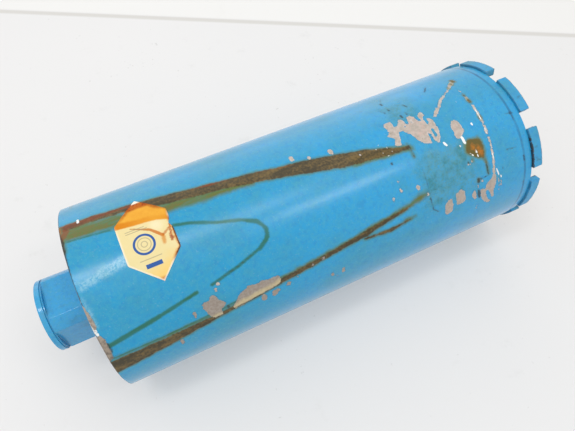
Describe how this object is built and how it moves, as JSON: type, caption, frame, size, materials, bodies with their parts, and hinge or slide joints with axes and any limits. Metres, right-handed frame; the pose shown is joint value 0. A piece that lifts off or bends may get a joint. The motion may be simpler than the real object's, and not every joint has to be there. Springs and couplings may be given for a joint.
{
  "type": "diamond core bit",
  "caption": "Worn wet diamond core bit: thin painted steel barrel with a crown of brazed segments, closed at the back by a plate and a coupling with four spanner flats and a threaded bore.",
  "frame": {"origin": "centre of the cutting plane, on the bit's axis, at the bottom of the crown", "axes": "+Z along the bit's axis, from the crown towards the threaded coupling; -Y faces the label"},
  "size_m": [0.1099, 0.11, 0.299],
  "materials": {
    "barrel_paint": "sky blue enamel, stained and chipped",
    "hub_paint": "fresher blue enamel",
    "plate_paint": "blue enamel, dulled",
    "weld_metal": "weld beads under thin paint",
    "segment_paint": "overspray on diamond segments, cutting faces worn bare",
    "label_paper": "yellowed paper label, rust-stained"
  },
  "bodies": {
    "root": {"barrel_tube": "barrel_paint", "back_plate": "plate_paint", "coupling_hub": "hub_paint", "rim_weld": "weld_metal", "hub_weld": "weld_metal", "label": "label_paper", "segment_01": "segment_paint", "segment_02": "segment_paint", "segment_03": "segment_paint", "segment_04": "segment_paint", "segment_05": "segment_paint", "segment_06": "segment_paint", "segment_07": "segment_paint", "segment_08": "segment_paint", "segment_09": "segment_paint", "segment_10": "segment_paint"}
  },
  "joints": []
}
